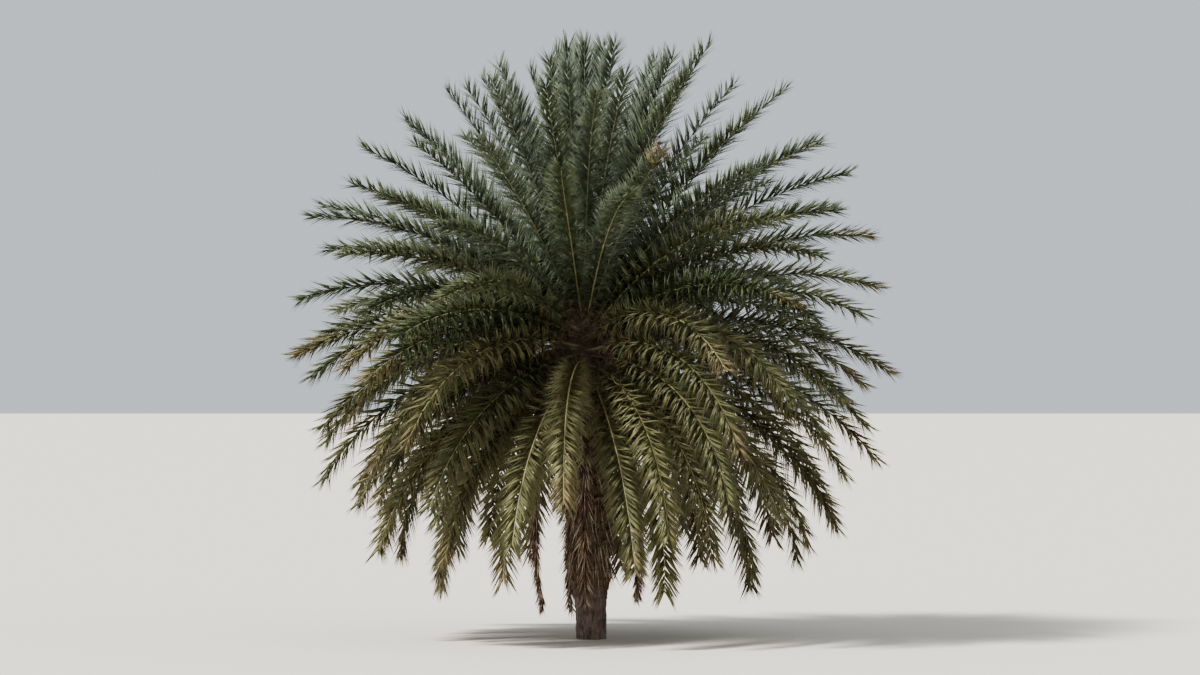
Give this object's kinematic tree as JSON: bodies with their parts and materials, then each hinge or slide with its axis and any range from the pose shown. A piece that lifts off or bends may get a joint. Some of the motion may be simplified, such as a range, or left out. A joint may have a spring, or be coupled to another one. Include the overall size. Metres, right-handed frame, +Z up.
{
  "type": "date palm tree",
  "caption": "Date palm with a short rough leaning trunk and a full round crown of arching feather fronds, upright at the heart and hanging in a skirt below, cut flat at ground level.",
  "frame": {"origin": "centre of the flat cut under the trunk, at ground level", "axes": "+Z straight up; +Y away from the picture's camera; +X to the picture's right. The trunk leans a little towards -X as it rises"},
  "size_m": [8.247, 7.8775, 8.2226],
  "materials": {
    "trunk_bark": "rough, dry and fibrous",
    "young_leaf": "blue-grey green, waxy bloom",
    "grown_leaf": "green, satin",
    "old_leaf": "olive to yellow-green, satin",
    "dry_leaf": "reddish brown, dull and dry"
  },
  "bodies": {
    "root": {"trunk": "trunk_bark", "upper_fronds": "young_leaf", "frond_01": "grown_leaf", "frond_02": "grown_leaf", "frond_03": "grown_leaf", "frond_04": "grown_leaf", "frond_05": "grown_leaf", "frond_06": "grown_leaf", "frond_07": "grown_leaf", "frond_08": "grown_leaf", "frond_09": "grown_leaf", "frond_10": "grown_leaf", "frond_11": "grown_leaf", "frond_12": "grown_leaf", "frond_13": "grown_leaf", "frond_14": "grown_leaf", "frond_15": "old_leaf", "frond_16": "old_leaf", "frond_17": "old_leaf", "frond_18": "old_leaf", "frond_19": "old_leaf", "frond_20": "old_leaf", "frond_21": "old_leaf", "frond_22": "old_leaf", "frond_23": "old_leaf", "frond_24": "old_leaf", "frond_25": "old_leaf", "frond_26": "old_leaf", "frond_27": "old_leaf", "frond_28": "old_leaf", "frond_29": "old_leaf", "frond_30": "old_leaf", "frond_31": "old_leaf", "frond_32": "old_leaf", "frond_33": "old_leaf", "frond_34": "old_leaf", "frond_35": "old_leaf", "frond_36": "old_leaf", "frond_37": "old_leaf", "frond_38": "old_leaf", "frond_39": "old_leaf", "frond_40": "old_leaf", "frond_41": "old_leaf", "frond_42": "old_leaf", "frond_43": "old_leaf", "frond_44": "old_leaf", "frond_45": "old_leaf", "frond_46": "old_leaf", "frond_47": "old_leaf", "frond_48": "old_leaf", "frond_49": "old_leaf", "frond_50": "old_leaf", "frond_51": "old_leaf", "frond_52": "old_leaf", "frond_53": "old_leaf", "dry_frond_1": "dry_leaf", "dry_frond_2": "dry_leaf", "dry_frond_3": "dry_leaf", "dry_frond_4": "dry_leaf", "dry_frond_5": "dry_leaf"}
  },
  "joints": []
}
